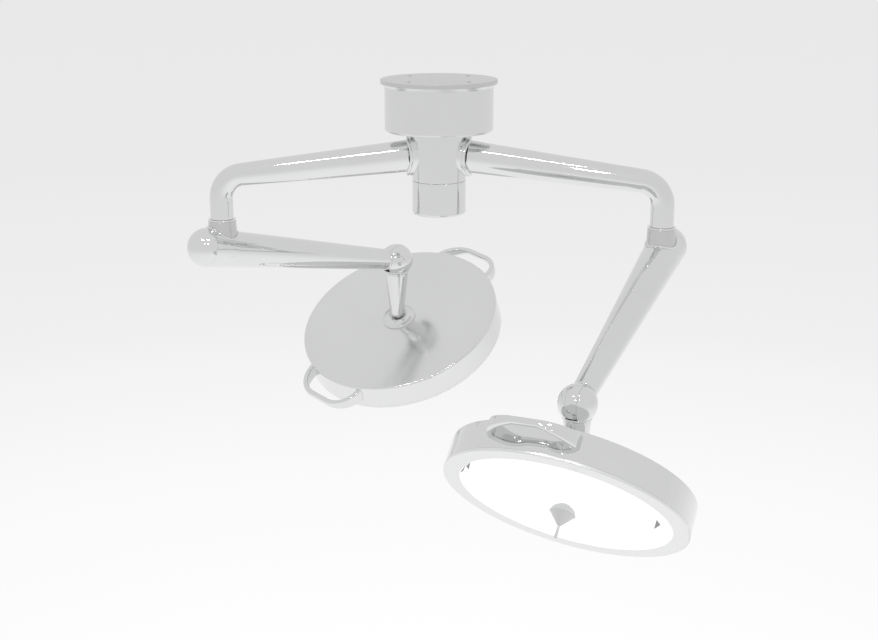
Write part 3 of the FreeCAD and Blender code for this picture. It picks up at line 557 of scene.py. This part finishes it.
# ---- bead round each extension arm's root -------------------------------------------------
def root_bead(side, materials):
    """A bead that closes the gap between the socket's mouth and the arm, and follows the mouth's curve."""
    elbow = Vector(JOINTS[side + "_collar_swivel"]["pos_m"])
    outwards = Vector((elbow.x, elbow.y, 0)).normalized()
    sideways = Vector((-outwards.y, outwards.x, 0))
    way = outwards * math.cos(ROOT_SLOPE) - Vector((0, 0, math.sin(ROOT_SLOPE)))
    rise = way.cross(sideways)
    radials = [sideways * math.cos(b) + rise * math.sin(b) for b in angles(AROUND)]

    def mouth(radial):
        """Distance along the arm's axis at which this side of the bead meets the socket's mouth."""
        def inside(distance):
            point = way * distance + radial * ROOT_BEAD_R
            return math.hypot(point.x, point.y) < SOCKET_REACH
        return last_inside(inside, MOUTH_WITHIN)

    mouths = [mouth(radial) for radial in radials]
    rows = []
    for a in angles(ROOT_BEAD_POINTS):
        row = []
        for radial, reach in zip(radials, mouths):
            at = Vector((0, 0, ROOT_Z)) + way * (reach + ROOT_BEAD * math.sin(a))
            row.append(at + radial * (ROOT_BEAD_R + ROOT_BEAD * math.cos(a)))
        rows.append(row)
    bead = mesh_of(side + "_root_bead", rows, True)
    bead.data.materials.append(materials["chrome"])
    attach(bead, "hub")


# ---- stage -------------------------------------------------------------------------
def background_rays(s):
    """1 for rays that should show the background: from the camera, in metal and through glass."""
    path = s.add("ShaderNodeLightPath")
    first = s.math("ADD", path.outputs["Is Camera Ray"], path.outputs["Is Glossy Ray"])
    return s.math("ADD", first, path.outputs["Is Transmission Ray"], clamp=True)


def floor():
    """A very large pale floor with a painted pool of light: its glow is brightest below the object and turns
    greyer with distance.
    """
    s = Shader("floor")
    where = s.add("ShaderNodeTexCoord")
    distance = s.length(where.outputs["Object"])
    # painted pool of light: the glow's grey falls from white below the object to grey far away
    painted_light = s.add("ShaderNodeValToRGB")
    s.link(s.math("DIVIDE", distance, FLOOR_REACH), painted_light.inputs["Fac"])
    stops = painted_light.color_ramp.elements
    for metres, _ in FLOOR_PAINTED_LIGHT[1:-1]:
        stops.new(metres / FLOOR_REACH)
    for stop, (_, level) in zip(stops, FLOOR_PAINTED_LIGHT):
        stop.color = (*grey(level), 1)
    glow = s.add("ShaderNodeEmission")
    s.link(painted_light.outputs["Color"], glow.inputs["Color"])
    glow.inputs["Strength"].default_value = FLOOR_GLOW
    seen = s.add("ShaderNodeAddShader")
    s.link(s.diffuse(FLOOR_OWN), seen.inputs[0])
    s.link(glow.outputs[0], seen.inputs[1])
    both = s.add("ShaderNodeMixShader")
    s.link(background_rays(s), both.inputs["Fac"])
    s.link(s.diffuse(FLOOR_BOUNCE), both.inputs[1])
    s.link(seen.outputs[0], both.inputs[2])
    s.link(both.outputs[0], s.out.inputs["Surface"])
    bpy.ops.mesh.primitive_plane_add(size=FLOOR_SIZE, location=(0, 0, FLOOR_Z))
    plane = bpy.context.object
    plane.name = "floor"
    plane.data.materials.append(s.material)


def world():
    scene_world = bpy.data.worlds.new("room")
    bpy.context.scene.world = scene_world
    scene_world.use_nodes = True
    back = scene_world.node_tree.nodes["Background"]
    back.inputs["Color"].default_value = (*grey(WALL_LEVEL), 1)
    back.inputs["Strength"].default_value = 1.0


def lamp(name, at, power, length, width):
    """A rectangular lamp that faces LAMP_TARGET."""
    data = bpy.data.lights.new(name, "AREA")
    data.shape = "RECTANGLE"
    data.energy = power
    data.size = length
    data.size_y = width
    light = bpy.data.objects.new(name, data)
    light.location = at
    light.rotation_euler = (Vector(LAMP_TARGET) - Vector(at)).to_track_quat("-Z", "Y").to_euler()
    bpy.context.scene.collection.objects.link(light)


def camera():
    """Looks along +Y, tipped down by CAMERA_DOWN."""
    data = bpy.data.cameras.new("camera")
    data.sensor_width = SENSOR
    data.lens = CAMERA_LENS
    data.clip_end = FLOOR_SIZE
    view = bpy.data.objects.new("camera", data)
    view.location = CAMERA_AT
    view.rotation_euler = (math.radians(90 - CAMERA_DOWN), 0, 0)
    bpy.context.scene.collection.objects.link(view)
    bpy.context.scene.camera = view


def build_stage():
    floor()
    world()
    for settings in LAMPS:
        lamp(*settings)
    camera()
    bpy.context.scene.view_settings.view_transform = "Standard"


MATERIALS = make_materials()
paint_nodes(MATERIALS)
for one_side in SIDES:
    shoulder_sleeve(one_side, MATERIALS)
    grips(one_side, MATERIALS)
    glass_clips(one_side, MATERIALS)
    root_bead(one_side, MATERIALS)
build_stage()
